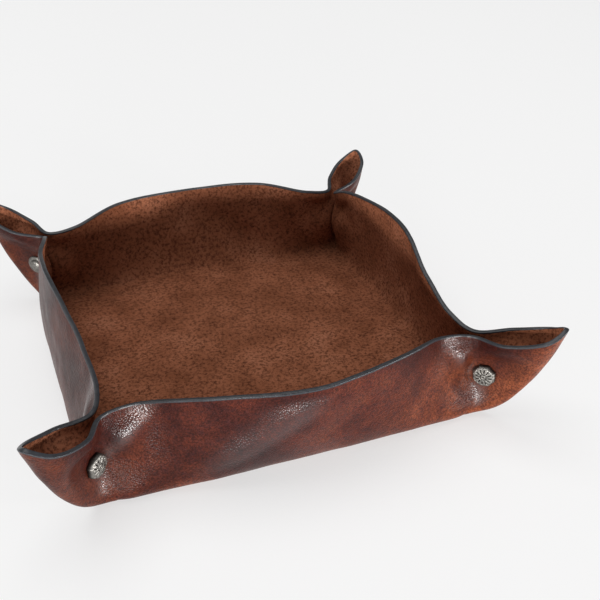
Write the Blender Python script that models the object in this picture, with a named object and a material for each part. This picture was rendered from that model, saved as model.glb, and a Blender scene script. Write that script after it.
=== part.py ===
"""A leather valet tray: one square sheet of leather whose four corners are pinched into ears and riveted.

Frame: metres, +Z up. The origin is on the table, under the middle of the floor. X runs along the
front and back walls, Y along the two side walls, and the front wall is at -Y.
"""
import math

import bmesh
import bpy
import numpy as np
from mathutils import Matrix, Vector

MM = 0.001

# Driving dimensions, in millimetres -----------------------------------------------------------
THICKNESS = 1.6             # leather
FLOOR_HALF = 69.0           # half the width of the flat floor
FLOOR_CORNER = 11.0         # corner radius of the flat floor
NECK = 66.5                 # half the distance between the pinched necks, along X and along Y
NECK_GAP = 1.8              # from the ear's middle plane to the middle of each flap, at the rim
PINCH_GAP = 1.0             # the same, where the rivet draws the flaps together
NECK_HEIGHT = 33.7

# Rim stations of the walls: (share of the way from mid-wall to neck, lean outwards, height)
END_WALL = [(0.0, 16.8, 38.0), (0.5, 10.6, 38.5), (0.82, 0.4, 35.1)]
SIDE_WALL_MIDDLE = (0.0, 3.7, 45.9)
SIDE_WALL_FRONT = [(0.5, -1.2, 39.3), (0.82, -2.2, 35.2)]
SIDE_WALL_BACK = [(0.5, 4.6, 42.0), (0.82, 1.4, 38.3)]
FLOOR_SHARE = {0.0: 0.0, 0.5: 0.5, 0.82: 0.84}      # the same stations, along the floor's straight side
WALL_REACH = 9.0            # how far the bend at the foot of a wall runs out from the floor
WALL_END_REACH = 8.0

# Rim stations of half an ear: (distance beyond the neck, half opening, height, floor share, reach)
EAR = [
    (0.0, NECK_GAP, NECK_HEIGHT, 0.30, 7.5),
    (13.1, 6.2, 35.4, 0.66, 9.5),
    (26.7, 5.4, 40.0, 0.93, 16.0),
    (31.3, 0.0, 43.7, 1.0, 19.0),
]

RIVET_OUT = 6.3             # rivet centre beyond the neck, along the corner's diagonal
RIVET_HEIGHT = 19.0
PINCH_SEAT = 5.6            # radius of the flat seat that the rivet presses into the flaps
PINCH_BEND = 3.0            # radius of the bend from each wall into its flap, at the rivet's height
PINCH_SPREAD = 0.15         # how fast the pinch lets go of the walls, per mm squared
PINCH_OPENING = 0.022       # how fast the flaps part above, below and beyond the seat, per mm squared
PINCH_BLEND = 3.0           # how softly the pinched shape runs into the free shape

HEAD_RADIUS = 4.4
HEAD_FACETS = 8
HEAD_SECTION = [(0.92, 0.0), (1.0, 0.5), (1.0, 1.4), (0.84, 2.1), (0.45, 2.45)]   # radius share, height
HEAD_TOP = 2.55
SHANK_RADIUS = 1.6
BURR_RADIUS = 4.0
BURR_THICKNESS = 0.8
PEEN_SECTION = [(2.4, 0.0), (2.4, 0.3), (1.7, 0.75)]                              # radius, height
PEEN_TOP = 0.95
CLEARANCE = 0.32            # between pieces that touch

# Mesh fineness
CELLS_PER_WALL_SPAN = [4, 3, 3]      # between the rim stations, from mid-wall to neck
CELLS_PER_EAR_SPAN = [8, 5, 2]       # from neck to tip
RINGS = [0.0, 0.1, 0.2, 0.31, 0.42, 0.52, 0.61, 0.69, 0.76, 0.83, 0.91, 1.0]
ROUND_SEGMENTS = 24

CORNERS = {
    "front_left": (-1, -1),
    "front_right": (1, -1),
    "back_left": (-1, 1),
    "back_right": (1, 1),
}

# Lengths along the floor's outline, from the middle of one side
STRAIGHT = FLOOR_HALF - FLOOR_CORNER
HALF_ARC = math.pi * FLOOR_CORNER / 4
OCTANT = STRAIGHT + HALF_ARC
ROUND_TRIP = 8 * OCTANT


def corner_axes(sx, sy):
    """The corner's outward diagonal, and the normal that points out of its end-wall flap."""
    diagonal = np.array([sx, sy]) / math.sqrt(2)
    normal = np.array([-sx, sy]) / math.sqrt(2)
    return diagonal, normal


def ear_stations(sx, sy, run_at_corner, first_flap):
    """Rim stations round one ear, from neck to tip to neck. first_flap is +1 for the end wall's flap."""
    diagonal, normal = corner_axes(sx, sy)
    neck = np.array([sx, sy]) * NECK
    going_out = [(row, first_flap, -1) for row in EAR]
    coming_back = [(row, -first_flap, 1) for row in reversed(EAR[:-1])]
    stations = []
    for (out, gap, height, share, reach), flap, side in going_out + coming_back:
        x, y = neck + diagonal * out + normal * gap * flap
        run = run_at_corner + side * HALF_ARC * (1 - share)
        stations.append((x, y, height, run, reach))
    return stations


def reach_at(share):
    return WALL_END_REACH if share > 0.8 else WALL_REACH


def end_wall_station(row, sy, run_at_middle, direction):
    share, lean, height = row
    run = run_at_middle + direction * STRAIGHT * FLOOR_SHARE[share]
    return (share * NECK, sy * (NECK + lean), height, run, reach_at(share))


def side_wall_station(row, sy):
    share, lean, height = row
    run = 2 * OCTANT + sy * STRAIGHT * FLOOR_SHARE[share]
    return (NECK + lean, sy * share * NECK, height, run, reach_at(share))


def rim_stations():
    """Rows of x, y, z, floor run and reach, anticlockwise from the middle of the front wall."""
    right = [end_wall_station(row, -1, 0.0, 1) for row in END_WALL]
    right += ear_stations(1, -1, OCTANT, 1)
    right += [side_wall_station(row, -1) for row in reversed(SIDE_WALL_FRONT)]
    right.append(side_wall_station(SIDE_WALL_MIDDLE, 1))
    right += [side_wall_station(row, 1) for row in SIDE_WALL_BACK]
    right += ear_stations(1, 1, 3 * OCTANT, -1)
    right += [end_wall_station(row, 1, 4 * OCTANT, -1) for row in reversed(END_WALL)]
    left = [(-x, y, z, ROUND_TRIP - run, reach) for x, y, z, run, reach in right[-2:0:-1]]
    return np.array(right + left)


def rim_curve(cells_per_span):
    """A smooth closed curve through the rim stations, with that many points between each two."""
    stations = rim_stations()
    points = np.vstack([stations[-1:], stations, stations[:2]])
    points[0, 3] -= ROUND_TRIP
    points[-2:, 3] += ROUND_TRIP
    knots = np.concatenate([[0], np.cumsum(np.linalg.norm(np.diff(points[:, :3], axis=0), axis=1) ** 0.5)])
    span = np.diff(knots)[:, None]
    slope = np.diff(points, axis=0) / span
    tangent = (slope[:-1] * span[1:] + slope[1:] * span[:-1]) / (span[1:] + span[:-1])
    curve = []
    for i, cells in enumerate(cells_per_span):
        start, end = points[i + 1], points[i + 2]
        m0, m1 = tangent[i] * span[i + 1], tangent[(i + 1) % len(tangent)] * span[i + 1]
        for u in np.arange(cells) / cells:
            a = 2 * u**3 - 3 * u**2 + 1
            b = u**3 - 2 * u**2 + u
            c = u**3 - u**2
            curve.append(a * start + b * m0 + (1 - a) * end + c * m1)
    return np.array(curve)


def cells_round_the_rim():
    """How many cells lie between each two rim stations, all the way round."""
    wall, ear = CELLS_PER_WALL_SPAN, CELLS_PER_EAR_SPAN
    one_corner = wall + ear + ear[::-1] + wall[::-1]
    return one_corner * 4


def floor_outline(run):
    """The point and outward normal of the floor's rounded square at each length along it."""
    side = np.floor((run + OCTANT) / (2 * OCTANT))
    along = run - side * 2 * OCTANT
    turn = np.clip((np.abs(along) - STRAIGHT) / FLOOR_CORNER, 0, None)
    sign = np.sign(along)
    x = sign * (np.minimum(np.abs(along), STRAIGHT) + FLOOR_CORNER * np.sin(turn))
    y = -(STRAIGHT + FLOOR_CORNER * np.cos(turn))
    c, s = np.cos(side * np.pi / 2), np.sin(side * np.pi / 2)
    nx, ny = sign * np.sin(turn), -np.cos(turn)
    point = np.stack([c * x - s * y, s * x + c * y], -1)
    normal = np.stack([c * nx - s * ny, s * nx + c * ny], -1)
    return point, normal


def fade(x):
    """0 below 0, 1 above 1, and smooth between."""
    x = np.clip(x, 0, 1)
    return x**3 * (x * (6 * x - 15) + 10)


def pinch(surface, rings):
    """Draws the two flaps of each ear together round its rivet, and leaves the rim where it is."""
    hold = fade((1 - rings) / 0.16)
    for sx, sy in CORNERS.values():
        diagonal, normal = corner_axes(sx, sy)
        offset = surface[..., :2] - np.array([sx, sy]) * NECK
        out, across = offset @ diagonal, offset @ normal
        along, above = out - RIVET_OUT, surface[..., 2] - RIVET_HEIGHT
        radius = np.hypot(along, above)
        beyond = np.maximum(radius - PINCH_SEAT, 0) / np.maximum(radius, PINCH_SEAT)
        inward = np.maximum(-along * beyond, 0)
        outward = np.maximum(along * beyond, 0)
        opening = PINCH_GAP + np.hypot(inward, PINCH_BEND) - PINCH_BEND + PINCH_SPREAD * inward**2
        opening += PINCH_OPENING * (outward**2 + (above * beyond) ** 2)
        half = np.abs(across)
        mix = np.clip(0.5 + 0.5 * (opening - half) / PINCH_BLEND, 0, 1)
        pinched = opening * (1 - mix) + half * mix - PINCH_BLEND * mix * (1 - mix)
        near = (half < NECK / 2) & (np.abs(out) < NECK)
        shift = np.where(near, (pinched - half) * np.sign(across), 0) * hold
        surface[..., :2] += shift[..., None] * normal
    return surface


def middle_surface(rim, rings):
    """The middle of the leather: at each rim point, a curve from the floor's outline out and up to the rim."""
    outline, outward = floor_outline(rim[:, 3])
    level = np.full((len(rim), 1), THICKNESS / 2)
    foot = np.hstack([outline, level])
    bend = np.hstack([outline + outward * rim[:, 4:5], level])
    top = rim[:, :3]
    rings = np.array(rings)
    s = rings[None, :, None]
    quadratic = [(1 - s) ** 2, 2 * s * (1 - s), s**2]
    curves = [foot[:, None], bend[:, None], top[:, None]]
    return pinch(sum(weight * point for weight, point in zip(quadratic, curves)), rings)


def surface_normals(surface):
    """Unit normals out of the grain side, from the neighbours of each point."""
    around = np.roll(surface, -1, axis=0) - np.roll(surface, 1, axis=0)
    upward = np.gradient(surface, axis=1)
    normal = np.cross(around, upward)
    return normal / np.linalg.norm(normal, axis=-1, keepdims=True)


def material(name, colour, roughness, metallic):
    made = bpy.data.materials.new(name)
    made.use_nodes = True
    shader = made.node_tree.nodes["Principled BSDF"]
    shader.inputs["Base Color"].default_value = (*colour, 1)
    shader.inputs["Roughness"].default_value = roughness
    shader.inputs["Metallic"].default_value = metallic
    return made


def add_object(name, bm, surface_material):
    mesh = bpy.data.meshes.new(name)
    bm.to_mesh(mesh)
    bm.free()
    made = bpy.data.objects.new(name, mesh)
    bpy.context.scene.collection.objects.link(made)
    mesh.materials.append(surface_material)
    return made


def leather_sheet(leather):
    """The whole sheet as one closed solid: flat floor, four walls and four ears."""
    surface = middle_surface(rim_curve(cells_round_the_rim()), RINGS)
    normals = surface_normals(surface)
    normals[:, 0] = (0, 0, -1)
    count, last = surface.shape[0], surface.shape[1] - 1
    bm = bmesh.new()
    sides = {}
    for side, shift in (("grain", THICKNESS / 2), ("flesh", -THICKNESS / 2)):
        points = (surface + normals * shift) * MM
        sides[side] = [[bm.verts.new(p) for p in column] for column in points]
    grain, flesh = sides["grain"], sides["flesh"]
    for i in range(count):
        k = (i + 1) % count
        for j in range(last):
            bm.faces.new((grain[i][j], grain[k][j], grain[k][j + 1], grain[i][j + 1]))
            bm.faces.new((flesh[i][j], flesh[i][j + 1], flesh[k][j + 1], flesh[k][j]))
        bm.faces.new((flesh[i][last], grain[i][last], grain[k][last], flesh[k][last]))
    bm.faces.new([column[0] for column in flesh])
    bm.faces.new([column[0] for column in reversed(grain)])
    sheet = add_object("leather_sheet", bm, leather)
    for name, (sx, sy) in CORNERS.items():
        punch = add_object(name + "_punch", rivet_hole(), leather)
        punch.matrix_world = rivet_placement(sx, sy)
        punch.hide_render = True
        punch.display_type = "WIRE"
        cut = sheet.modifiers.new(name + "_hole", "BOOLEAN")
        cut.object = punch
        cut.operation = "DIFFERENCE"
        cut.solver = "EXACT"
    return sheet


def rivet_placement(sx, sy):
    """Local Z points out of the end wall's flap, local Y is up, and the origin is between the flaps."""
    diagonal, normal = corner_axes(sx, sy)
    centre = np.array([sx, sy]) * NECK + diagonal * RIVET_OUT
    z_axis = Vector((*normal, 0))
    y_axis = Vector((0, 0, 1))
    x_axis = y_axis.cross(z_axis)
    placement = Matrix((x_axis, y_axis, z_axis)).transposed().to_4x4()
    placement.translation = Vector((*centre, RIVET_HEIGHT)) * MM
    return placement


def turned(rings, segments):
    """A closed solid through rings of (radius, height) given from the bottom up; radius 0 is a point."""
    bm = bmesh.new()
    loops = []
    for radius, height in rings:
        if radius == 0:
            loops.append([bm.verts.new(Vector((0, 0, height)) * MM)])
            continue
        angles = [2 * math.pi * (k + 0.5) / segments for k in range(segments)]
        spots = [Vector((radius * math.cos(a), radius * math.sin(a), height)) * MM for a in angles]
        loops.append([bm.verts.new(spot) for spot in spots])
    for low, high in zip(loops, loops[1:]):
        for k in range(segments):
            n = (k + 1) % segments
            corners = [low[k % len(low)], low[n % len(low)], high[n % len(high)], high[k % len(high)]]
            bm.faces.new(list(dict.fromkeys(corners)))
    if len(loops[0]) > 1:
        bm.faces.new(loops[0][::-1])
    if len(loops[-1]) > 1:
        bm.faces.new(loops[-1])
    return bm


def rivet_hole():
    length = 2 * (PINCH_GAP + THICKNESS)
    radius = SHANK_RADIUS + CLEARANCE
    return turned([(radius, -length), (radius, length)], ROUND_SEGMENTS)


def join_solids(target, added):
    """Boolean union of two overlapping solids into the first."""
    union = target.modifiers.new("join_" + added.name, "BOOLEAN")
    union.object = added
    union.operation = "UNION"
    union.solver = "EXACT"
    added.hide_render = True
    added.display_type = "WIRE"


def rivet(name, placement, metal):
    """Faceted head on the end wall's flap, shank through both flaps, and peened end past the burr."""
    seat = PINCH_GAP + THICKNESS / 2 + CLEARANCE
    peen_base = seat + BURR_THICKNESS + CLEARANCE
    head_rings = [(HEAD_RADIUS * share, seat + height) for share, height in HEAD_SECTION]
    head = add_object(name, turned(head_rings + [(0, seat + HEAD_TOP)], HEAD_FACETS), metal)
    head.matrix_world = placement
    shank_rings = [(0, -peen_base - PEEN_TOP)]
    shank_rings += [(radius, -peen_base - height) for radius, height in reversed(PEEN_SECTION)]
    shank_rings += [(SHANK_RADIUS, -peen_base), (SHANK_RADIUS, seat + HEAD_SECTION[1][1])]
    shank = add_object(name + "_shank", turned(shank_rings, ROUND_SEGMENTS), metal)
    shank.matrix_world = placement
    join_solids(head, shank)
    return head


def burr(name, placement, metal):
    """The washer that the rivet's end is peened over, on the side wall's flap."""
    seat = -(PINCH_GAP + THICKNESS / 2 + CLEARANCE)
    bore = SHANK_RADIUS + CLEARANCE
    bm = bmesh.new()
    loops = []
    for radius, height in ((bore, -BURR_THICKNESS), (BURR_RADIUS, -BURR_THICKNESS), (BURR_RADIUS, 0), (bore, 0)):
        angles = [2 * math.pi * k / ROUND_SEGMENTS for k in range(ROUND_SEGMENTS)]
        spots = [Vector((radius * math.cos(a), radius * math.sin(a), seat + height)) * MM for a in angles]
        loops.append([bm.verts.new(spot) for spot in spots])
    for low, high in zip(loops, loops[1:] + loops[:1]):
        for k in range(ROUND_SEGMENTS):
            n = (k + 1) % ROUND_SEGMENTS
            bm.faces.new((low[k], low[n], high[n], high[k]))
    washer = add_object(name, bm, metal)
    washer.matrix_world = placement
    return washer


def smooth_round_faces(made):
    made.data.shade_smooth()
    made.data.set_sharp_from_angle(angle=math.radians(35))


def main():
    for old in list(bpy.data.objects):
        bpy.data.objects.remove(old)
    leather = material("burgundy_leather", (0.13, 0.035, 0.02), 0.35, 0.0)
    pewter = material("old_pewter", (0.2, 0.19, 0.17), 0.4, 1.0)
    smooth_round_faces(leather_sheet(leather))
    for name, (sx, sy) in CORNERS.items():
        placement = rivet_placement(sx, sy)
        rivet(name + "_rivet", placement, pewter)
        smooth_round_faces(burr(name + "_burr", placement, pewter))


main()
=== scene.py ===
"""The looks of the leather valet tray: leather, painted edge, rivets, floor, light and camera.

Everything is in metres in the CAD's frame: +Z up, the origin on the table under the middle of the floor.
Sizes of the leather are named in millimetres, as in the CAD source, and scaled by MM.
"""
import math

import bmesh
import bpy
import numpy as np
from mathutils import Matrix, Vector


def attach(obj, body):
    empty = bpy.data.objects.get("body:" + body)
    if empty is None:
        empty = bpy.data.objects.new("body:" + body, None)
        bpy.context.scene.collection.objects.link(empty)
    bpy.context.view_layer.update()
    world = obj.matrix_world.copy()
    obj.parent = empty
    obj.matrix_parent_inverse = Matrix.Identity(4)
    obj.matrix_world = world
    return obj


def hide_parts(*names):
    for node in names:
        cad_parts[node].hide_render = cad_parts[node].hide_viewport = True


MM = 0.001

# The leather's shape: the same driving dimensions as the CAD sheet ---------------------------
THICKNESS = 1.6
FLOOR_HALF = 69.0
FLOOR_CORNER = 11.0
NECK = 66.5
NECK_GAP = 1.8
PINCH_GAP = 1.0
NECK_HEIGHT = 33.7
END_WALL = [(0.0, 16.8, 38.0), (0.5, 10.6, 38.5), (0.82, 0.4, 35.1)]
SIDE_WALL_MIDDLE = (0.0, 3.7, 45.9)
SIDE_WALL_FRONT = [(0.5, -1.2, 39.3), (0.82, -2.2, 35.2)]
SIDE_WALL_BACK = [(0.5, 4.6, 42.0), (0.82, 1.4, 38.3)]
FLOOR_SHARE = {0.0: 0.0, 0.5: 0.5, 0.82: 0.84}
WALL_REACH = 9.0
WALL_END_REACH = 8.0
EAR = [
    (0.0, NECK_GAP, NECK_HEIGHT, 0.30, 7.5),
    (13.1, 6.2, 35.4, 0.66, 9.5),
    (26.7, 5.4, 40.0, 0.93, 16.0),
    (31.3, 0.0, 43.7, 1.0, 19.0),
]
RIVET_OUT = 6.3
RIVET_HEIGHT = 19.0
PINCH_SEAT = 5.6
PINCH_BEND = 3.0
PINCH_OPENING = 0.022
PINCH_SPREAD = 0.15
PINCH_BLEND = 3.0
HEAD_RADIUS = 4.4
BURR_RADIUS = 4.0
BURR_THICKNESS = 0.8
SHANK_RADIUS = 1.6
HEAD_TOP = 2.5
HEAD_FACETS = 8
HEAD_SEGMENTS = 120
HEAD_TURNS = [0.35, 1.1, 2.3, 0.8]
PETALS = 12
HEAD_SIDE = [                # share of the radius, height above the leather, darkness (painted shade, deepest where the head meets the leather)
    (0.88, 1.92, 0.15),
    (0.93, 1.72, 0.4),
    (0.97, 1.40, 0.6),
    (1.00, 1.00, 0.75),
    (1.00, 0.50, 0.9),
    (0.98, 0.12, 1.0),
    (0.94, 0.0, 1.0),
]
PEEN = [                     # radius, height past the burr
    (2.3, 0.0),
    (2.45, 0.2),
    (2.3, 0.45),
    (1.8, 0.72),
    (1.1, 0.88),
    (0.4, 0.93),
]

# The soft relief that the CAD leaves out
CREST_HEIGHT = 1.8          # the fold from each rivet to the rim
CREST_WIDTH = 3.6
CREST_LINE = {              # distance from the neck at the rivet's height, and slope from there
    "front_left": (1.6, 0.85),
    "front_right": (0.6, 0.64),
    "back_left": (0.6, 0.7),
    "back_right": (1.0, 0.75),
}
BUCKLE_HEIGHT = 2.2         # the ridge up each end wall
BUCKLE_START = -38.0        # where along the wall the ridge begins
BUCKLE_FOOT = 0.44          # its share of the wall's height there
BUCKLE_CLIMB = 0.0130       # how fast that share rises along the wall
BUCKLE_ARC = 38.0           # the wall's arc, foot to rim
BUCKLE_UPPER_FLANK = 5.5
BUCKLE_LOWER_FLANK = 11.0
SEAT_RADIUS = 5.5           # the leather stays flat this far round each rivet
SEAT_BLEND = 8.0
CREASE_DEPTH = 0.16
CREASE_SPACING = 3.4

# Finish
CREST_POLISH_WIDTH = 2.2
BUCKLE_POLISH_FLANK = 3.0
BUCKLE_POLISH = 0.7
WARM_SHARE = {              # how far bending has drawn the dark finish off at each corner
    "front_left": 0.35,
    "front_right": 1.0,
    "back_left": 0.6,
    "back_right": 0.8,
}

# Mesh fineness
CELLS_PER_WALL_SPAN = [32, 22, 14]
CELLS_PER_EAR_SPAN = [18, 14, 8]
WALL_RINGS = 46
PAINT_WIDTH = 0.20          # how far the edge paint laps onto each face
EDGE_CROWN = 0.30           # how far the painted edge bulges past the cut
EDGE_STEPS = 8

CORNERS = {
    "front_left": (-1, -1),
    "front_right": (1, -1),
    "back_left": (-1, 1),
    "back_right": (1, 1),
}
STRAIGHT = FLOOR_HALF - FLOOR_CORNER
HALF_ARC = math.pi * FLOOR_CORNER / 4
OCTANT = STRAIGHT + HALF_ARC
ROUND_TRIP = 8 * OCTANT


# ---------------------------------------------------------------- the leather's middle surface
def corner_axes(sx, sy):
    """The corner's outward diagonal, and the normal that points out of its end-wall flap."""
    diagonal = np.array([sx, sy]) / math.sqrt(2)
    normal = np.array([-sx, sy]) / math.sqrt(2)
    return diagonal, normal


def ear_stations(sx, sy, run_at_corner, first_flap):
    """Rim stations round one ear, from neck to tip to neck. first_flap is +1 for the end wall's flap."""
    diagonal, normal = corner_axes(sx, sy)
    neck = np.array([sx, sy]) * NECK
    going_out = [(row, first_flap, -1) for row in EAR]
    coming_back = [(row, -first_flap, 1) for row in reversed(EAR[:-1])]
    stations = []
    for (out, gap, height, share, reach), flap, side in going_out + coming_back:
        x, y = neck + diagonal * out + normal * gap * flap
        run = run_at_corner + side * HALF_ARC * (1 - share)
        stations.append((x, y, height, run, reach))
    return stations


def reach_at(share):
    return WALL_END_REACH if share > 0.8 else WALL_REACH


def end_wall_station(row, sy, run_at_middle, direction):
    share, lean, height = row
    run = run_at_middle + direction * STRAIGHT * FLOOR_SHARE[share]
    return (share * NECK, sy * (NECK + lean), height, run, reach_at(share))


def side_wall_station(row, sy):
    share, lean, height = row
    run = 2 * OCTANT + sy * STRAIGHT * FLOOR_SHARE[share]
    return (NECK + lean, sy * share * NECK, height, run, reach_at(share))


def rim_stations():
    """Rows of x, y, z, floor run and reach, anticlockwise from the middle of the front wall."""
    right = [end_wall_station(row, -1, 0.0, 1) for row in END_WALL]
    right += ear_stations(1, -1, OCTANT, 1)
    right += [side_wall_station(row, -1) for row in reversed(SIDE_WALL_FRONT)]
    right.append(side_wall_station(SIDE_WALL_MIDDLE, 1))
    right += [side_wall_station(row, 1) for row in SIDE_WALL_BACK]
    right += ear_stations(1, 1, 3 * OCTANT, -1)
    right += [end_wall_station(row, 1, 4 * OCTANT, -1) for row in reversed(END_WALL)]
    left = [(-x, y, z, ROUND_TRIP - run, reach) for x, y, z, run, reach in right[-2:0:-1]]
    return np.array(right + left)


def rim_curve(cells_per_span):
    """A smooth closed curve through the rim stations, with that many points between each two."""
    stations = rim_stations()
    points = np.vstack([stations[-1:], stations, stations[:2]])
    points[0, 3] -= ROUND_TRIP
    points[-2:, 3] += ROUND_TRIP
    chord = np.linalg.norm(np.diff(points[:, :3], axis=0), axis=1)
    span = np.sqrt(chord)[:, None]
    slope = np.diff(points, axis=0) / span
    tangent = (slope[:-1] * span[1:] + slope[1:] * span[:-1]) / (span[1:] + span[:-1])
    curve = []
    for i, cells in enumerate(cells_per_span):
        start, end = points[i + 1], points[i + 2]
        m0, m1 = tangent[i] * span[i + 1], tangent[(i + 1) % len(tangent)] * span[i + 1]
        for u in np.arange(cells) / cells:
            a = 2 * u**3 - 3 * u**2 + 1
            b = u**3 - 2 * u**2 + u
            c = u**3 - u**2
            curve.append(a * start + b * m0 + (1 - a) * end + c * m1)
    return np.array(curve)


def cells_round_the_rim():
    wall, ear = CELLS_PER_WALL_SPAN, CELLS_PER_EAR_SPAN
    one_corner = wall + ear + ear[::-1] + wall[::-1]
    return one_corner * 4


def floor_outline(run):
    """The point and outward normal of the floor's rounded square at each length along it."""
    side = np.floor((run + OCTANT) / (2 * OCTANT))
    along = run - side * 2 * OCTANT
    turn = np.clip((np.abs(along) - STRAIGHT) / FLOOR_CORNER, 0, None)
    sign = np.sign(along)
    x = sign * (np.minimum(np.abs(along), STRAIGHT) + FLOOR_CORNER * np.sin(turn))
    y = -(STRAIGHT + FLOOR_CORNER * np.cos(turn))
    c, s = np.cos(side * np.pi / 2), np.sin(side * np.pi / 2)
    nx, ny = sign * np.sin(turn), -np.cos(turn)
    point = np.stack([c * x - s * y, s * x + c * y], -1)
    normal = np.stack([c * nx - s * ny, s * nx + c * ny], -1)
    return point, normal


def fade(x):
    """0 below 0, 1 above 1, and smooth between."""
    x = np.clip(x, 0, 1)
    return x**3 * (x * (6 * x - 15) + 10)


def pinch(surface, rings):
    """Draws the two flaps of each ear together round its rivet, and leaves the rim where it is."""
    hold = fade((1 - rings) / 0.16)
    for sx, sy in CORNERS.values():
        diagonal, normal = corner_axes(sx, sy)
        offset = surface[..., :2] - np.array([sx, sy]) * NECK
        out, across = offset @ diagonal, offset @ normal
        along, above = out - RIVET_OUT, surface[..., 2] - RIVET_HEIGHT
        radius = np.hypot(along, above)
        beyond = np.maximum(radius - PINCH_SEAT, 0) / np.maximum(radius, PINCH_SEAT)
        inward = np.maximum(-along * beyond, 0)
        outward = np.maximum(along * beyond, 0)
        opening = PINCH_GAP + np.hypot(inward, PINCH_BEND) - PINCH_BEND + PINCH_SPREAD * inward**2
        opening += PINCH_OPENING * (outward**2 + (above * beyond) ** 2)
        half = np.abs(across)
        mix = np.clip(0.5 + 0.5 * (opening - half) / PINCH_BLEND, 0, 1)
        pinched = opening * (1 - mix) + half * mix - PINCH_BLEND * mix * (1 - mix)
        near = (half < NECK / 2) & (np.abs(out) < NECK)
        shift = np.where(near, (pinched - half) * np.sign(across), 0) * hold
        surface[..., :2] += shift[..., None] * normal
    return surface


def middle_surface(rim, rings):
    """The middle of the leather, from the floor's outline up to the rim."""
    outline, outward = floor_outline(rim[:, 3])
    level = np.full((len(rim), 1), THICKNESS / 2)
    foot = np.hstack([outline, level])
    bend = np.hstack([outline + outward * rim[:, 4:5], level])
    top = rim[:, :3]
    rings = np.array(rings)
    s = rings[None, :, None]
    quadratic = [(1 - s) ** 2, 2 * s * (1 - s), s**2]
    curves = [foot[:, None], bend[:, None], top[:, None]]
    return pinch(sum(weight * point for weight, point in zip(quadratic, curves)), rings)


def surface_normals(surface):
    """Unit normals out of the grain side, from the neighbours of each point."""
    around = np.roll(surface, -1, axis=0) - np.roll(surface, 1, axis=0)
    upward = np.gradient(surface, axis=1)
    normal = np.cross(around, upward)
    return normal / np.linalg.norm(normal, axis=-1, keepdims=True)


# ---------------------------------------------------------------- the leather's fine relief
def waves(points, seed, wavelength, octaves=3):
    """Smooth noise from -1 to 1 made of plane waves in all directions, the same each run."""
    made = np.random.RandomState(seed)
    total = np.zeros(points.shape[:-1])
    weight_sum = 0.0
    for octave in range(octaves):
        weight = 0.6**octave
        for _ in range(9):
            direction = made.normal(size=3)
            direction /= np.linalg.norm(direction)
            frequency = 2 * np.pi / wavelength * 1.8**octave * made.uniform(0.7, 1.3)
            total += weight * np.sin(points @ direction * frequency + made.uniform(0, 2 * np.pi))
        weight_sum += weight * 3
    return total / weight_sum


def bell(distance, width):
    """1 at no distance, and smoothly down to 0 over a few widths."""
    return np.exp(-((distance / width) ** 2))


def corner_frame(surface, sx, sy):
    """Each point's distance out along the corner's diagonal, and across it, from the pinched neck."""
    diagonal, normal = corner_axes(sx, sy)
    offset = surface[..., :2] - np.array([sx, sy]) * NECK
    return offset @ diagonal, offset @ normal


def warmth(surface):
    """Where bending has drawn the dark finish off: round the rivets, under the ears and along the foot."""
    warm = np.zeros(surface.shape[:-1])
    for corner, (sx, sy) in CORNERS.items():
        out, _ = corner_frame(surface, sx, sy)
        height = surface[..., 2]
        keel_height = 3 + 0.045 * np.clip(out, 0, None) ** 2
        keel = bell(height - keel_height, 11) * fade((out + 14) / 16)
        seat = bell(np.hypot(out + 3, height - 14), 12) * 0.8
        warm = np.maximum(warm, np.maximum(keel, seat) * WARM_SHARE[corner])
    foot = bell(surface[..., 2], 5) * 0.5
    return np.maximum(warm, foot)


def buckle(surface, rings, lower_flank):
    """A soft ridge up each end wall, from 0 to 1, as thick leather buckles where it bows outwards."""
    across, share = surface[..., 0] * np.sign(-surface[..., 1]), rings[None, :]
    line = BUCKLE_FOOT + (across - BUCKLE_START) * BUCKLE_CLIMB
    away = (share - line) * BUCKLE_ARC
    flank = np.where(away > 0, BUCKLE_UPPER_FLANK, lower_flank)
    along = fade((across + 44) / 22) * fade((30 - across) / 40) * fade((1 - share) / 0.12)
    return bell(away, flank) * along * fade((np.abs(surface[..., 1]) - 60) / 5)


def crests(surface, width):
    """The fold that runs from each rivet up and inwards to the rim, on both flaps, from 0 to 1."""
    strength = np.zeros(surface.shape[:-1])
    rise = surface[..., 2] - RIVET_HEIGHT
    past_neck = np.abs(surface[..., :2]).sum(-1) / math.sqrt(2) - NECK * math.sqrt(2)
    free = fade((rise + 6) / 7) * fade((5 - past_neck) / 9)
    for corner, (sx, sy) in CORNERS.items():
        from_neck = np.abs(surface[..., :2] - np.array([sx, sy]) * NECK)
        inward, along_wall = from_neck.min(-1), from_neck.max(-1)
        start, slope = CREST_LINE[corner]
        away = (along_wall - start - slope * rise) / math.hypot(1, slope)
        close = (inward < 14) & (along_wall < NECK)
        strength = np.maximum(strength, np.where(close, bell(away, width) * free, 0))
    return strength


def burnish(surface, rings):
    """How polished the grain is: high on the folds above and below the rivets and on the buckle."""
    ridge = buckle(surface, rings, BUCKLE_POLISH_FLANK) * BUCKLE_POLISH
    shine = np.maximum(crests(surface, CREST_POLISH_WIDTH), ridge)
    drop = RIVET_HEIGHT - surface[..., 2]
    under = fade((drop - 3) / 2) * fade((15 - drop) / 6)
    for sx, sy in CORNERS.values():
        out, across = corner_frame(surface, sx, sy)
        streak = bell(out - RIVET_OUT + 1.5, 2.4) * under
        shine = np.maximum(shine, np.where(np.abs(across) < 12, streak, 0))
    return shine


def crease_mask(surface):
    """How strongly the leather is gathered: high above and below each rivet, 0 elsewhere."""
    mask = np.zeros(surface.shape[:-1])
    height = surface[..., 2] - RIVET_HEIGHT
    for sx, sy in CORNERS.values():
        out, across = corner_frame(surface, sx, sy)
        radius = np.sqrt((out - RIVET_OUT + 3) ** 2 + across**2 * 0.35)
        band = bell(radius, 7.5) * bell(height, 15.0)
        seat = fade((np.hypot(out - RIVET_OUT, height) - HEAD_RADIUS) / 2.0)
        mask = np.maximum(mask, band * seat)
    return mask


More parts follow.
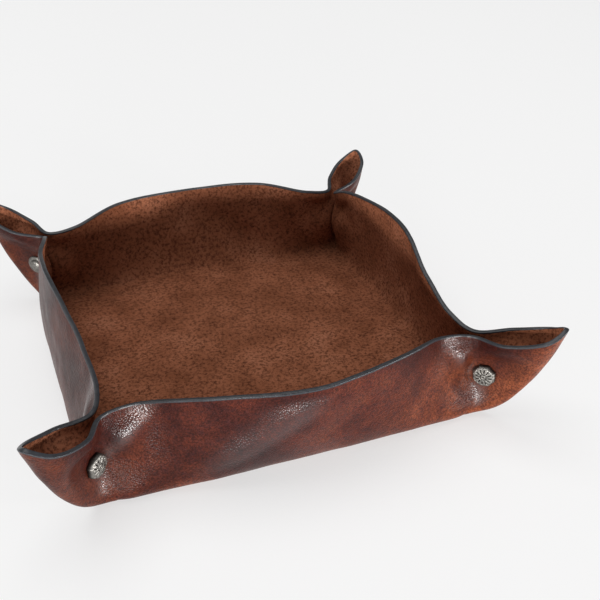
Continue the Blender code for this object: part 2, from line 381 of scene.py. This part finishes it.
def coons_patch(outline, cells):
    """A grid of points filling a closed outline of 4 x cells points, whose corners are at 0, cells, ..."""
    side = [np.array([outline[(k * cells + i) % len(outline)] for i in range(cells + 1)]) for k in range(4)]
    bottom, right, top, left = side[0], side[1], side[2][::-1], side[3][::-1]
    u = np.linspace(0, 1, cells + 1)[:, None, None]
    v = np.linspace(0, 1, cells + 1)[None, :, None]
    ruled = (1 - v) * bottom[:, None] + v * top[:, None] + (1 - u) * left[None] + u * right[None]
    corners = (1 - u) * (1 - v) * bottom[0] + u * (1 - v) * bottom[-1]
    corners = corners + (1 - u) * v * top[0] + u * v * top[-1]
    return ruled - corners


class MeshParts:
    """Collects points, quads and material numbers for one mesh."""

    def __init__(self):
        self.points, self.quads, self.slots = [], [], []
        self.count = 0

    def add_points(self, array):
        flat = array.reshape(-1, 3)
        start = self.count
        self.points.append(flat)
        self.count += len(flat)
        return start + np.arange(len(flat)).reshape(array.shape[:-1])

    def add_grid(self, index, slot, closed=False, flip=False):
        following = np.roll(index, -1, axis=0) if closed else index[1:]
        present = index if closed else index[:-1]
        a, b, c, d = present[:, :-1], following[:, :-1], following[:, 1:], present[:, 1:]
        quads = np.stack([a, b, c, d], -1).reshape(-1, 4)
        self.quads.append(quads[:, ::-1] if flip else quads)
        self.slots.append(np.full(len(quads), slot))

    def build(self, name):
        points = np.concatenate(self.points)
        quads = np.concatenate(self.quads)
        mesh = bpy.data.meshes.new(name)
        mesh.vertices.add(len(points))
        mesh.vertices.foreach_set("co", (points * MM).astype(np.float32).ravel())
        mesh.loops.add(len(quads) * 4)
        mesh.loops.foreach_set("vertex_index", quads.astype(np.int32).ravel())
        mesh.polygons.add(len(quads))
        mesh.polygons.foreach_set("loop_start", np.arange(len(quads), dtype=np.int32) * 4)
        mesh.polygons.foreach_set("material_index", np.concatenate(self.slots).astype(np.int32))
        mesh.update(calc_edges=True)
        mesh.validate()
        mesh.shade_smooth()
        made = bpy.data.objects.new(name, mesh)
        bpy.context.scene.collection.objects.link(made)
        return made


GRAIN_SLOT, FLESH_SLOT, EDGE_SLOT = 0, 1, 2


def leather_piece(materials):
    """The sheet at full fineness: grain outside, flesh side inside, and a crowned painted edge."""
    cells = cells_round_the_rim()
    rim = rim_curve(cells)
    quarter = len(rim) // 4
    ring_share = np.linspace(0, 1, WALL_RINGS) ** 0.92
    paint_ring = 1 - PAINT_WIDTH / 40
    rings = np.append(ring_share[:-1][ring_share[:-1] < paint_ring - 0.004], [paint_ring, 1.0])
    surface = middle_surface(rim, rings)
    normals = surface_normals(surface)
    normals[:, 0] = (0, 0, -1)
    free = fade(rings / 0.35)[None, :]
    gathered = crease_mask(surface)
    seat_free = 1 - np.clip(gathered * 1.2, 0, 1)
    swell = waves(surface, 5, 42.0) * 0.30 * free * seat_free
    swell += waves(surface, 9, 14.0) * 0.05 * free
    swell += BUCKLE_HEIGHT * buckle(surface, rings, BUCKLE_LOWER_FLANK) * free
    swell += CREST_HEIGHT * crests(surface, CREST_WIDTH) * fade((1 - rings) / 0.14)
    for sx, sy in CORNERS.values():
        out, across = corner_frame(surface, sx, sy)
        near = np.hypot(out - RIVET_OUT, surface[..., 2] - RIVET_HEIGHT)
        close = (np.abs(across) < 12) & (out > -12)
        swell = np.where(close, swell * fade((near - SEAT_RADIUS) / SEAT_BLEND), swell)
    surface = surface + normals * swell[..., None]
    normals = surface_normals(surface)
    normals[:, 0] = (0, 0, -1)

    run = rim[:, 3][:, None] * np.ones_like(rings)[None]
    stretched = np.stack([run, surface[..., 2] * 0.10, np.zeros_like(run)], -1)
    folds = waves(stretched, 21, CREASE_SPACING, octaves=2)
    crease = (0.8 - 2 * np.abs(folds)) * gathered * CREASE_DEPTH

    parts = MeshParts()
    half = THICKNESS / 2
    grain = surface + normals * (half + crease)[..., None]
    flesh = surface - normals * (half - crease * 0.4)[..., None]
    grain_index = parts.add_points(grain)
    flesh_index = parts.add_points(flesh)
    last = len(rings) - 1
    parts.add_grid(grain_index[:, :last], GRAIN_SLOT, closed=True)
    parts.add_grid(grain_index[:, last - 1:], EDGE_SLOT, closed=True)
    parts.add_grid(flesh_index[:, :last], FLESH_SLOT, closed=True, flip=True)
    parts.add_grid(flesh_index[:, last - 1:], EDGE_SLOT, closed=True, flip=True)

    upward = surface[:, last] - surface[:, last - 1]
    upward /= np.linalg.norm(upward, axis=-1, keepdims=True)
    angles = np.linspace(0, np.pi, EDGE_STEPS + 2)[1:-1]
    edge_rows = [grain_index[:, last]]
    for angle in angles:
        across = math.copysign(abs(math.cos(angle)) ** 0.7, math.cos(angle))
        crown = math.sin(angle) ** 0.8
        row = surface[:, last] + normals[:, last] * half * across + upward * EDGE_CROWN * crown
        edge_rows.append(parts.add_points(row))
    edge_rows.append(flesh_index[:, last])
    parts.add_grid(np.stack(edge_rows, 1), EDGE_SLOT, closed=True)

    corner_start = sum(cells[: len(CELLS_PER_WALL_SPAN) + len(CELLS_PER_EAR_SPAN)])
    faces = ((flesh_index, FLESH_SLOT, THICKNESS, False), (grain_index, GRAIN_SLOT, 0.0, True))
    for index, slot, z, flip in faces:
        ring = np.roll(index[:, 0], -corner_start)
        outline = np.concatenate(parts.points)[ring]
        patch = coons_patch(outline, quarter)
        patch[..., 2] = z
        if slot == FLESH_SLOT:
            inset = FLOOR_HALF - np.abs(patch[..., :2]).max(-1)
            patch[..., 2] += waves(patch, 31, 30.0) * 0.16 * fade(inset / 20)
        inner = patch[1:-1, 1:-1]
        inner_index = parts.add_points(inner)
        grid = np.zeros((quarter + 1, quarter + 1), int)
        grid[1:-1, 1:-1] = inner_index
        grid[:, 0] = ring[: quarter + 1]
        grid[-1, :] = ring[quarter: 2 * quarter + 1]
        grid[:, -1] = ring[2 * quarter: 3 * quarter + 1][::-1]
        grid[0, :] = np.append(ring[3 * quarter:], ring[0])[::-1]
        parts.add_grid(grid, slot, flip=flip)
    sheet = parts.build("leather")
    for attribute, strength in (("warm", warmth(surface)), ("burnish", burnish(surface, rings))):
        values = np.zeros(parts.count)
        values[grain_index.ravel()] = strength.ravel()
        sheet.data.attributes.new(attribute, "FLOAT", "POINT").data.foreach_set("value", values)
    for made in materials:
        sheet.data.materials.append(made)
    return sheet


# ---------------------------------------------------------------- rivets
def rivet_placement(sx, sy):
    """Local Z points out of the end wall's flap, local Y is up, and the origin is between the flaps."""
    diagonal, normal = corner_axes(sx, sy)
    centre = np.array([sx, sy]) * NECK + diagonal * RIVET_OUT
    z_axis = Vector((*normal, 0))
    y_axis = Vector((0, 0, 1))
    x_axis = y_axis.cross(z_axis)
    placement = Matrix((x_axis, y_axis, z_axis)).transposed().to_4x4()
    placement.translation = Vector((*centre, RIVET_HEIGHT)) * MM
    return placement


def round_solid(name, rows, material, placement, open_ends=False):
    """A closed solid through rings of (x, y, z, darkness) points, the darkness being kept as patina and
    painted shade.

    The end rings are closed with a fan, or with open_ends are joined to each other, as in a washer.
    """
    bm = bmesh.new()
    loops = [[bm.verts.new(Vector(point[:3]) * MM) for point in row] for row in rows]
    patina_and_shade = [point[3] for row in rows for point in row]
    pairs = list(zip(loops, loops[1:]))
    if open_ends:
        pairs.append((loops[-1], loops[0]))
    for low, high in pairs:
        for k in range(len(low)):
            n = (k + 1) % len(low)
            bm.faces.new((low[k], low[n], high[n], high[k]))
    if not open_ends:
        for loop, row in ((loops[0][::-1], rows[0]), (loops[-1], rows[-1])):
            centre = bm.verts.new(Vector(np.mean(np.array(row)[:, :3], axis=0)) * MM)
            patina_and_shade.append(float(np.mean(np.array(row)[:, 3])))
            for k in range(len(loop)):
                bm.faces.new((loop[k], loop[(k + 1) % len(loop)], centre))
    bmesh.ops.recalc_face_normals(bm, faces=bm.faces)
    mesh = bpy.data.meshes.new(name)
    bm.to_mesh(mesh)
    bm.free()
    # the metal's darkness: patina in the stamped hollows, and painted shade down the head's side
    mesh.attributes.new("patina_and_shade", "FLOAT", "POINT").data.foreach_set("value", patina_and_shade)
    mesh.shade_smooth()
    mesh.set_sharp_from_angle(angle=math.radians(50))
    mesh.materials.append(material)
    made = bpy.data.objects.new(name, mesh)
    made.matrix_world = placement
    bpy.context.scene.collection.objects.link(made)
    return made


def rosette(radius, angle):
    """Depth of the stamped ornament: a centre dot, a ring, and petals parted by grooves."""
    radius = np.full_like(angle, radius)
    ring = np.exp(-(((radius - 1.15) / 0.2) ** 2))
    dot = np.exp(-((radius / 0.3) ** 2))
    window = fade((radius - 1.45) / 0.3) * fade((3.35 - radius) / 0.5)
    petals = np.clip(np.cos(PETALS * angle) * 1.6 - 0.35, 0, 1) * window
    tips = np.exp(-(((radius - 3.3 + 0.35 * np.cos(PETALS * angle)) / 0.16) ** 2)) * 0.55
    return np.maximum.reduce([ring * 0.9, dot, petals, tips])


def rivet_piece(name, placement, turn, seed, metal):
    """Head with hammered facets and a stamped rosette, shank, and the end peened over the burr."""
    made = np.random.RandomState(seed)
    wobble = made.uniform(-1, 1, size=6)
    angle = np.arange(HEAD_SEGMENTS) * 2 * np.pi / HEAD_SEGMENTS
    facet = (angle + turn) % (2 * np.pi / HEAD_FACETS) - np.pi / HEAD_FACETS
    outline = 0.1 + 0.9 * math.cos(np.pi / HEAD_FACETS) / np.cos(facet)
    uneven = 0.018 * wobble[0] * np.sin(2 * angle + wobble[1])
    uneven = uneven + 0.015 * np.sin(5 * angle + wobble[2] * 3)
    outline = outline * (1 + uneven)
    seat = PINCH_GAP + THICKNESS / 2 + 0.05
    rows = []
    for share in np.linspace(0.03, 0.84, 34):
        radius = HEAD_RADIUS * share * (1 + (outline - 1) * share)
        depth = rosette(HEAD_RADIUS * share, angle + turn)
        height = seat + HEAD_TOP - 0.42 * (share / 0.84) ** 2 - 0.24 * depth
        height = height + 0.05 * np.sin(3 * angle + wobble[3]) * share
        rows.append((radius, height, depth))
    # painted shade: the head's side darkens toward the leather, where it meets the sheet
    for share, height, dark in HEAD_SIDE:
        dent = 0.10 * np.sin(HEAD_FACETS * (angle + turn) + wobble[4]) * (1 if height > 0.4 else 0)
        rows.append((HEAD_RADIUS * share * outline, seat + height + dent, np.full_like(angle, dark)))
    peen = seat + BURR_THICKNESS + 0.05
    shank = [(SHANK_RADIUS, seat), (SHANK_RADIUS, -peen)]
    for radius, height in shank + [(r, -peen - h) for r, h in PEEN]:
        dent = 0.05 * np.sin(4 * angle + seed) * (1 if radius < 2.2 and height < -peen else 0)
        rows.append((np.full_like(angle, radius), height + dent, np.full_like(angle, 0.25)))
    rings = []
    # the last column is the metal's darkness: stamped depth on the face, painted shade on the side
    for radius, height, depth in rows:
        x, y = radius * np.cos(angle), radius * np.sin(angle)
        z = np.broadcast_to(height, x.shape)
        rings.append(np.stack([x, y, z, np.broadcast_to(depth, x.shape)], -1).tolist())
    return round_solid(name, rings, metal, placement)


def burr_piece(name, placement, metal):
    """The washer under the peened end, with softened edges."""
    angle = np.arange(64) * 2 * np.pi / 64
    top = -(PINCH_GAP + THICKNESS / 2 + 0.05)
    bore = SHANK_RADIUS + 0.05
    section = [(bore, 0.0), (BURR_RADIUS - 0.1, 0.0), (BURR_RADIUS, 0.12), (BURR_RADIUS, 0.45)]
    section += [(BURR_RADIUS - 0.15, 0.68), (BURR_RADIUS - 0.5, 0.78), (bore, BURR_THICKNESS)]
    rings = []
    for radius, height in section:
        x, y = radius * np.cos(angle), radius * np.sin(angle)
        z = np.full_like(x, top - height)
        rings.append(np.stack([x, y, z, np.full_like(x, 0.3)], -1).tolist())
    return round_solid(name, rings, metal, placement, open_ends=True)


# ---------------------------------------------------------------- materials
class Nodes:
    """Short calls for making a material's node tree."""

    def __init__(self, name):
        self.material = bpy.data.materials.new(name)
        self.material.use_nodes = True
        self.tree = self.material.node_tree
        self.shader = self.tree.nodes["Principled BSDF"]

    def add(self, kind, **settings):
        node = self.tree.nodes.new(kind)
        for key, value in settings.items():
            if key in node.inputs:
                node.inputs[key].default_value = value
            else:
                setattr(node, key, value)
        return node

    def link(self, source, target):
        self.tree.links.new(source, target)

    def noise(self, vector, scale, detail=4.0, roughness=0.55, distortion=0.0):
        node = self.add("ShaderNodeTexNoise", Scale=scale, Detail=detail, Roughness=roughness)
        node.inputs["Distortion"].default_value = distortion
        self.link(vector, node.inputs["Vector"])
        return node.outputs["Fac"]

    def voronoi(self, vector, scale, feature="F1", randomness=1.0):
        node = self.add("ShaderNodeTexVoronoi", feature=feature, Scale=scale, Randomness=randomness)
        self.link(vector, node.inputs["Vector"])
        return node.outputs["Distance"]

    def ramp(self, value, stops, interpolation="LINEAR"):
        node = self.add("ShaderNodeValToRGB")
        node.color_ramp.interpolation = interpolation
        elements = node.color_ramp.elements
        while len(elements) < len(stops):
            elements.new(0.5)
        for element, (position, colour) in zip(elements, stops):
            element.position = position
            element.color = (*colour, 1)
        self.link(value, node.inputs["Fac"])
        return node.outputs["Color"]

    def span(self, value, low, high, new_low, new_high):
        node = self.add("ShaderNodeMapRange")
        for key, number in (("From Min", low), ("From Max", high), ("To Min", new_low), ("To Max", new_high)):
            node.inputs[key].default_value = number
        self.link(value, node.inputs["Value"])
        return node.outputs["Result"]

    def math(self, operation, a, b):
        node = self.add("ShaderNodeMath", operation=operation)
        for socket, value in zip(node.inputs, (a, b)):
            if isinstance(value, (int, float)):
                socket.default_value = value
            else:
                self.link(value, socket)
        return node.outputs[0]

    def mix(self, factor, a, b, blend="MIX"):
        node = self.add("ShaderNodeMix", data_type="RGBA", blend_type=blend)
        for socket, value in ((node.inputs[0], factor), (node.inputs[6], a), (node.inputs[7], b)):
            if isinstance(value, (int, float)):
                socket.default_value = value
            elif isinstance(value, tuple):
                socket.default_value = (*value, 1)
            else:
                self.link(value, socket)
        return node.outputs[2]

    def bump(self, height, distance, strength=1.0, normal=None):
        node = self.add("ShaderNodeBump", Strength=strength, Distance=distance)
        self.link(height, node.inputs["Height"])
        if normal is not None:
            self.link(normal, node.inputs["Normal"])
        return node.outputs["Normal"]

    def coordinates(self):
        return self.add("ShaderNodeTexCoord").outputs["Object"]


def grain_material():
    """Burnished burgundy leather: mottled dye, warmer where bent, pebbled grain, polished folds."""
    n = Nodes("burgundy_grain")
    here = n.coordinates()
    cloud = n.noise(here, 30.0, detail=5.0, roughness=0.62, distortion=0.1)
    wine = n.ramp(cloud, [
        (0.30, (0.011, 0.0020, 0.0016)),
        (0.45, (0.029, 0.0053, 0.0034)),
        (0.58, (0.062, 0.0126, 0.0066)),
        (0.72, (0.092, 0.023, 0.010)),
    ])
    warm = n.add("ShaderNodeAttribute", attribute_name="warm").outputs["Fac"]
    uneven = n.span(n.noise(here, 75.0, detail=4.0), 0.35, 0.65, 0.25, 1.0)
    tan = n.ramp(cloud, [(0.35, (0.125, 0.028, 0.011)), (0.65, (0.245, 0.070, 0.029))])
    colour = n.mix(n.math("MULTIPLY", warm, uneven), wine, tan)
    mottle = n.noise(here, 420.0, detail=4.0, roughness=0.7)
    colour = n.mix(n.span(mottle, 0.45, 0.72, 0.0, 0.65), colour, (0.030, 0.009, 0.009))
    grit = n.noise(here, 1500.0, detail=2.0, roughness=0.6)
    colour = n.mix(1.0, colour, n.span(grit, 0.35, 0.65, 0.55, 1.45), "MULTIPLY")
    fine = n.bump(n.voronoi(here, 1600.0), 0.00021, 0.57)
    broad = n.bump(n.noise(here, 420.0, detail=1.0), 0.0003, 0.12, fine)
    n.link(colour, n.shader.inputs["Base Color"])
    n.link(broad, n.shader.inputs["Normal"])
    polish = n.add("ShaderNodeAttribute", attribute_name="burnish").outputs["Fac"]
    n.link(n.span(n.noise(here, 110.0, detail=3.0), 0.3, 0.7, 0.30, 0.42), n.shader.inputs["Roughness"])
    n.link(polish, n.shader.inputs["Coat Weight"])
    n.link(broad, n.shader.inputs["Coat Normal"])
    n.shader.inputs["Coat Roughness"].default_value = 0.31
    n.shader.inputs["Coat IOR"].default_value = 1.65
    n.shader.inputs["Specular IOR Level"].default_value = 0.12
    return n.material


def flesh_material():
    """The flesh side: matt brown suede with dark fibres."""
    n = Nodes("brown_flesh_side")
    here = n.coordinates()
    cloud = n.noise(here, 45.0, detail=4.0, roughness=0.6)
    colour = n.ramp(cloud, [
        (0.35, (0.230, 0.080, 0.039)),
        (0.55, (0.325, 0.120, 0.062)),
        (0.70, (0.400, 0.158, 0.087)),
    ])
    speck = n.noise(here, 800.0, detail=4.0, roughness=0.75)
    colour = n.mix(n.span(speck, 0.46, 0.62, 0.0, 0.80), colour, (0.060, 0.020, 0.011))
    pit = n.voronoi(here, 420.0)
    colour = n.mix(n.span(pit, 0.05, 0.16, 0.7, 0.0), colour, (0.020, 0.008, 0.006))
    nap = n.noise(here, 2200.0, detail=3.0, roughness=0.7)
    fine = n.bump(nap, 0.00025, 0.7)
    rough = n.bump(speck, 0.0005, 0.7, fine)
    n.link(colour, n.shader.inputs["Base Color"])
    n.link(rough, n.shader.inputs["Normal"])
    n.shader.inputs["Roughness"].default_value = 0.95
    n.shader.inputs["Specular IOR Level"].default_value = 0.05
    return n.material


def edge_material():
    """Dark slate edge paint, satin, slightly uneven."""
    n = Nodes("slate_edge_paint")
    here = n.coordinates()
    uneven = n.noise(here, 500.0, detail=3.0)
    slate = n.ramp(uneven, [(0.3, (0.011, 0.012, 0.015)), (0.7, (0.026, 0.028, 0.034))])
    n.link(slate, n.shader.inputs["Base Color"])
    n.link(n.bump(uneven, 0.0004, 0.5), n.shader.inputs["Normal"])
    n.shader.inputs["Roughness"].default_value = 0.38
    return n.material


def pewter_material():
    """Antiqued pewter: bright where rubbed, near black in the stamped hollows, and painted shade darkening
    the head's side toward the leather.
    """
    n = Nodes("antique_pewter")
    here = n.coordinates()
    blotch = n.noise(here, 900.0, detail=5.0, roughness=0.65)
    colour = n.ramp(blotch, [
        (0.3, (0.10, 0.095, 0.085)),
        (0.6, (0.30, 0.285, 0.26)),
        (0.8, (0.42, 0.40, 0.37)),
    ])
    # patina in the stamped hollows, and painted shade on the head's side near the leather
    patina_and_shade = n.add("ShaderNodeAttribute", attribute_name="patina_and_shade").outputs["Fac"]
    colour = n.mix(patina_and_shade, colour, (0.012, 0.011, 0.010))
    n.link(colour, n.shader.inputs["Base Color"])
    n.link(n.span(blotch, 0.3, 0.7, 0.5, 0.3), n.shader.inputs["Roughness"])
    n.link(n.bump(blotch, 0.0002, 0.5), n.shader.inputs["Normal"])
    n.shader.inputs["Metallic"].default_value = 0.9
    return n.material


def floor_material():
    n = Nodes("pale_floor")
    n.shader.inputs["Base Color"].default_value = (0.40, 0.40, 0.40, 1)
    n.shader.inputs["Roughness"].default_value = 0.9
    n.shader.inputs["Specular IOR Level"].default_value = 0.1
    n.shader.inputs["Emission Color"].default_value = (1, 1, 1, 1)
    n.shader.inputs["Emission Strength"].default_value = 0.592
    return n.material


# ---------------------------------------------------------------- stage, light and camera
FLOOR_DROP = 0.0002                   # keeps the floor clear of the leather's underside


def add_floor():
    bpy.ops.mesh.primitive_plane_add(size=8.0, location=(0, 0, -FLOOR_DROP))
    floor = bpy.context.object
    floor.name = "pale_floor"
    floor.data.materials.append(floor_material())


def area_light(name, place, target, size, power, colour=(1, 1, 1)):
    light = bpy.data.lights.new(name, "AREA")
    light.shape = "RECTANGLE"
    light.size, light.size_y = size
    light.energy = power
    light.color = colour
    made = bpy.data.objects.new(name, light)
    bpy.context.scene.collection.objects.link(made)
    made.location = place
    made.rotation_euler = (Vector(target) - Vector(place)).to_track_quat("-Z", "Y").to_euler()
    return made


def add_lights():
    world = bpy.data.worlds.new("studio")
    bpy.context.scene.world = world
    world.use_nodes = True
    background = world.node_tree.nodes["Background"]
    background.inputs["Color"].default_value = (1, 1, 1, 1)
    background.inputs["Strength"].default_value = 0.26
    area_light("overhead_softbox", (-0.35, 0.38, 2.2), (0, 0.1, 0), (2.2, 2.0), 28)
    area_light("left_strip", (-0.31, -1.15, 0.065), (-0.06, -0.07, 0.03), (0.20, 0.07), 10.0)
    area_light("right_strip", (0.62, -0.98, 0.065), (0.06, -0.07, 0.03), (0.16, 0.06), 6.0)
    area_light("side_strip", (-1.10, -0.60, 0.065), (-0.06, -0.07, 0.03), (0.20, 0.06), 6.0)
    area_light("far_right_strip", (1.05, -0.62, 0.075), (0.06, -0.07, 0.03), (0.16, 0.08), 8.5)


CAMERA_PLACE = (-0.0830, -0.2916, 0.2037)
CAMERA_YAW = math.radians(20.45)      # to the right of +Y
CAMERA_PITCH = math.radians(30.69)    # below level
CAMERA_LENS = 52.84                   # mm on a 36 mm sensor


def add_camera():
    camera = bpy.data.cameras.new("camera")
    camera.lens = CAMERA_LENS
    camera.sensor_width = 36
    camera.clip_start = 0.01
    made = bpy.data.objects.new("camera", camera)
    bpy.context.scene.collection.objects.link(made)
    made.location = CAMERA_PLACE
    made.rotation_euler = (math.pi / 2 - CAMERA_PITCH, 0, -CAMERA_YAW)
    bpy.context.scene.camera = made


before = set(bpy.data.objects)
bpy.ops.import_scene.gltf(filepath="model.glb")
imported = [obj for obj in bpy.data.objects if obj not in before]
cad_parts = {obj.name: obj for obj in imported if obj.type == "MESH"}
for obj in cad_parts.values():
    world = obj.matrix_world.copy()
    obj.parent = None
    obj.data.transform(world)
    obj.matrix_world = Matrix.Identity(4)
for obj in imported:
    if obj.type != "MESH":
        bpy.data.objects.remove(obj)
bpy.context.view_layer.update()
bpy.context.scene.view_settings.view_transform = "Standard"
add_camera()
add_floor()
add_lights()
leather = leather_piece([grain_material(), flesh_material(), edge_material()])
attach(leather, "root")
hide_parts("leather_sheet")
pewter = pewter_material()
for number, (corner, (sx, sy)) in enumerate(CORNERS.items()):
    placement = rivet_placement(sx, sy)
    rivet = rivet_piece(corner + "_rivet_detail", placement, HEAD_TURNS[number], 40 + number, pewter)
    burr = burr_piece(corner + "_burr_detail", placement, pewter)
    for piece, node in ((rivet, corner + "_rivet"), (burr, corner + "_burr")):
        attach(piece, "root")
        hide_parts(node)
